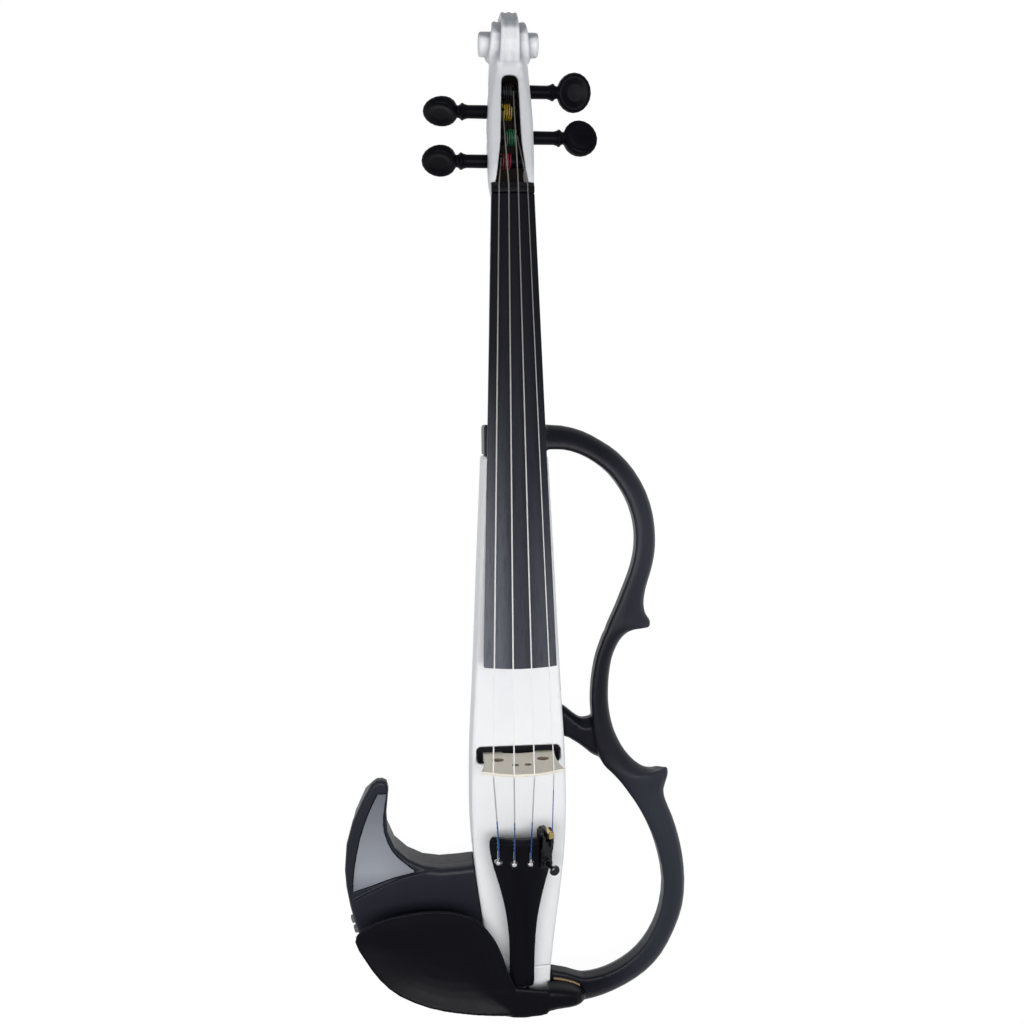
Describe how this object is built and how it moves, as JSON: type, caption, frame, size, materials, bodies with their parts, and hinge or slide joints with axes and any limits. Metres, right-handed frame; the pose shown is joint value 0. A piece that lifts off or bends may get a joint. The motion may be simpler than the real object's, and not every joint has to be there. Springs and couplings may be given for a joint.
{
  "type": "electric violin",
  "caption": "Electric violin with a slim white body, a black open outline frame, a control housing, chinrest, tailpiece and strings.",
  "frame": {"origin": "middle of the bounding box in X and Y, on the flat back in Z", "axes": "+X to the treble side, +Y along the neck to the scroll, +Z from the flat back to the strings"},
  "size_m": [0.2074, 0.596, 0.0792],
  "materials": {
    "battery": "satin",
    "black": "satin black",
    "board": "solder mask",
    "brass": "polished",
    "cork": "cork",
    "ebony": "satin black stained hardwood",
    "green": "wrapped thread",
    "lead": "matte",
    "maple": "bare pale wood",
    "matte": "matte black",
    "panel": "satin blue-grey",
    "red": "wrapped thread",
    "steel": "bright",
    "white": "gloss white lacquer over wood",
    "yellow": "wrapped thread"
  },
  "bodies": {
    "violin": {"body": "white", "tail_block": "white", "pickup_tray": "black", "pickup_lead": "lead", "saddle": "ebony", "end_button": "ebony", "neck_and_scroll": "white", "fingerboard": "ebony", "nut": "ebony", "bridge": "maple", "frame": "matte", "yoke_screw_1": "steel", "yoke_screw_2": "steel", "housing_front": "matte", "housing_back": "matte", "housing_panel": "panel", "circuit_board": "board", "battery": "battery", "phones_jack": "steel", "line_jack": "steel", "housing_screw_1": "steel", "housing_screw_2": "steel", "housing_screw_3": "steel", "housing_screw_4": "steel", "chinrest": "black", "chinrest_pad_bass": "cork", "chinrest_pad_treble": "cork", "clamp_hook_bass": "steel", "clamp_hook_treble": "steel", "tailpiece": "ebony", "tailgut": "black", "tuner_body": "black", "string_g": "steel", "string_d": "steel", "string_a": "steel", "string_e": "steel"},
    "peg_g": {"peg_g": "ebony", "winding_g": "red"},
    "peg_d": {"peg_d": "ebony", "winding_d": "yellow"},
    "peg_a": {"peg_a": "ebony", "winding_a": "lead"},
    "peg_e": {"peg_e": "ebony", "winding_e": "green"},
    "tuner_screw": {"tuner_screw": "black"},
    "tuner_lever": {"tuner_lever": "brass"},
    "clamp_barrel_bass": {"clamp_barrel_bass": "steel"},
    "clamp_barrel_treble": {"clamp_barrel_treble": "steel"},
    "clamp_foot": {"clamp_foot": "steel", "clamp_foot_pad": "cork"},
    "volume_wheel": {"volume_wheel": "black"},
    "power_switch": {"power_switch": "black"},
    "reverb_switch": {"reverb_switch": "black"},
    "battery_door": {"battery_door": "matte"}
  },
  "joints": [
    {"name": "peg_g_turn", "type": "hinge", "parent": "violin", "child": "peg_g", "pos_m": [0.00025, 0.21288, 0.02196], "axis": [1, 0, 0], "continuous": true},
    {"name": "peg_d_turn", "type": "hinge", "parent": "violin", "child": "peg_d", "pos_m": [0.00025, 0.24212, 0.01795], "axis": [1, 0, 0], "continuous": true},
    {"name": "peg_a_turn", "type": "hinge", "parent": "violin", "child": "peg_a", "pos_m": [0.00025, 0.25424, 0.01681], "axis": [1, 0, 0], "continuous": true},
    {"name": "peg_e_turn", "type": "hinge", "parent": "violin", "child": "peg_e", "pos_m": [0.00025, 0.22721, 0.01986], "axis": [1, 0, 0], "continuous": true},
    {"name": "tuner_screw_turn", "type": "hinge", "parent": "violin", "child": "tuner_screw", "pos_m": [0.01374, -0.19466, 0.06331], "axis": [-0.3746, 0.121, -0.9193], "range_deg": [0, 1440]},
    {"name": "tuner_lever_tilt", "type": "hinge", "parent": "violin", "child": "tuner_lever", "pos_m": [0.01351, -0.17614, 0.06519], "axis": [0.9272, 0.0489, -0.3714], "range_deg": [0, 8]},
    {"name": "clamp_barrel_bass_turn", "type": "hinge", "parent": "violin", "child": "clamp_barrel_bass", "pos_m": [-0.01075, -0.29201, 0.027], "axis": [0, 0, 1], "range_deg": [0, 720]},
    {"name": "clamp_barrel_treble_turn", "type": "hinge", "parent": "violin", "child": "clamp_barrel_treble", "pos_m": [0.01125, -0.29201, 0.027], "axis": [0, 0, 1], "range_deg": [0, 720]},
    {"name": "clamp_foot_drop", "type": "slide", "parent": "violin", "child": "clamp_foot", "axis": [0, 0, -1], "range_m": [0, 0.0028]},
    {"name": "volume_wheel_turn", "type": "hinge", "parent": "violin", "child": "volume_wheel", "pos_m": [-0.09475, -0.22266, 0.0257], "axis": [0, 0, 1], "range_deg": [-140, 140]},
    {"name": "power_switch_slide", "type": "slide", "parent": "violin", "child": "power_switch", "axis": [1, 0, 0], "range_m": [0, 0.0035]},
    {"name": "reverb_switch_slide", "type": "slide", "parent": "violin", "child": "reverb_switch", "axis": [1, 0, 0], "range_m": [0, 0.0035]},
    {"name": "battery_door_slide", "type": "slide", "parent": "violin", "child": "battery_door", "axis": [-1, 0, 0], "range_m": [0, 0.02]}
  ],
  "couplings": [
    {"joint": "tuner_lever_tilt", "follows": "tuner_screw_turn", "ratio": 0.0055556},
    {"joint": "clamp_barrel_bass_turn", "follows": "clamp_foot_drop", "rad_per_m": 4488},
    {"joint": "clamp_barrel_treble_turn", "follows": "clamp_foot_drop", "rad_per_m": 4488}
  ]
}
